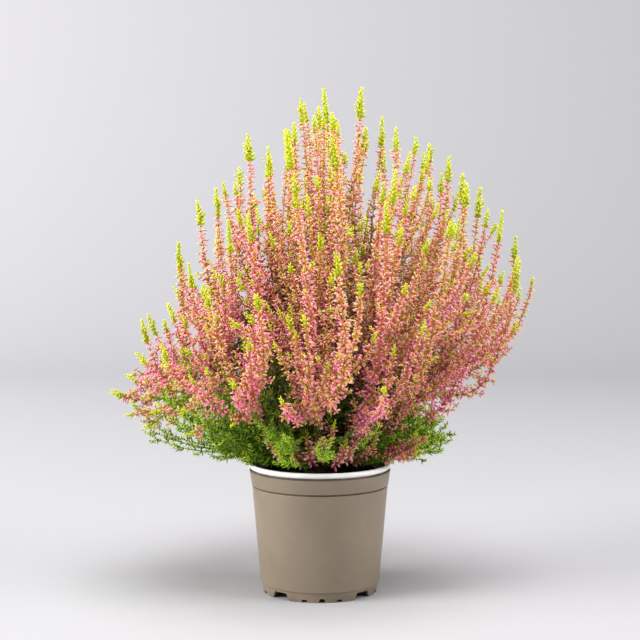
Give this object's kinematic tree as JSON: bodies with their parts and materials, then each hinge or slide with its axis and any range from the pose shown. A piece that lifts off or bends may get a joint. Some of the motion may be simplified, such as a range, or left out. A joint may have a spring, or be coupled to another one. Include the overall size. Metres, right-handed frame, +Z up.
{
  "type": "potted heather",
  "caption": "Bushy flowering heather with upright floret spikes over a low leafy base, growing in a round tapered plastic nursery pot with a rolled rim and a notched foot.",
  "frame": {"origin": "on the pot's axis, at the level of the surface the pot stands on, under the middle of the plant's box", "axes": "+Z up along the pot's axis, the plant's longest way; -Y towards the side that the picture shows; +X to that view's right"},
  "size_m": [0.3397, 0.3531, 0.4237],
  "materials": {
    "pot_plastic": "satin taupe outside, white rolled rim and inside",
    "compost": "crumbly moist peat",
    "bark": "rough thin bark",
    "leaf": "soft matt leaves",
    "floret": "soft matt petals",
    "fresh_tip": "soft matt young leaves"
  },
  "bodies": {
    "root": {"pot": "pot_plastic", "compost": "compost", "woody_crown": "bark", "leafy_branch_1": "leaf", "leafy_branch_2": "leaf", "leafy_branch_3": "leaf", "leafy_branch_4": "leaf", "leafy_branch_5": "leaf", "leafy_branch_6": "leaf", "leafy_branch_7": "leaf", "leafy_branch_8": "leaf", "flower_spray_01": "floret", "flower_spray_02": "floret", "flower_spray_03": "floret", "flower_spray_04": "floret", "flower_spray_05": "floret", "flower_spray_06": "floret", "flower_spray_07": "floret", "flower_spray_08": "floret", "flower_spray_09": "floret", "flower_spray_10": "floret", "flower_spray_11": "floret", "flower_spray_12": "floret", "flower_spray_13": "floret", "flower_spray_14": "floret", "flower_spray_15": "floret", "flower_spray_16": "floret", "flower_spray_17": "floret", "flower_spray_18": "floret", "flower_spray_19": "floret", "flower_spray_20": "floret", "flower_spray_21": "floret", "flower_spray_22": "floret", "flower_spray_23": "floret", "flower_spray_24": "floret", "shoot_tip_01": "fresh_tip", "shoot_tip_02": "fresh_tip", "shoot_tip_03": "fresh_tip", "shoot_tip_04": "fresh_tip", "shoot_tip_05": "fresh_tip", "shoot_tip_06": "fresh_tip", "shoot_tip_07": "fresh_tip", "shoot_tip_08": "fresh_tip", "shoot_tip_09": "fresh_tip", "shoot_tip_10": "fresh_tip", "shoot_tip_11": "fresh_tip", "shoot_tip_12": "fresh_tip", "shoot_tip_13": "fresh_tip", "shoot_tip_14": "fresh_tip", "shoot_tip_15": "fresh_tip", "shoot_tip_16": "fresh_tip", "shoot_tip_17": "fresh_tip", "shoot_tip_18": "fresh_tip", "shoot_tip_19": "fresh_tip", "shoot_tip_20": "fresh_tip", "shoot_tip_21": "fresh_tip", "shoot_tip_22": "fresh_tip", "shoot_tip_23": "fresh_tip", "shoot_tip_24": "fresh_tip"}
  },
  "joints": []
}
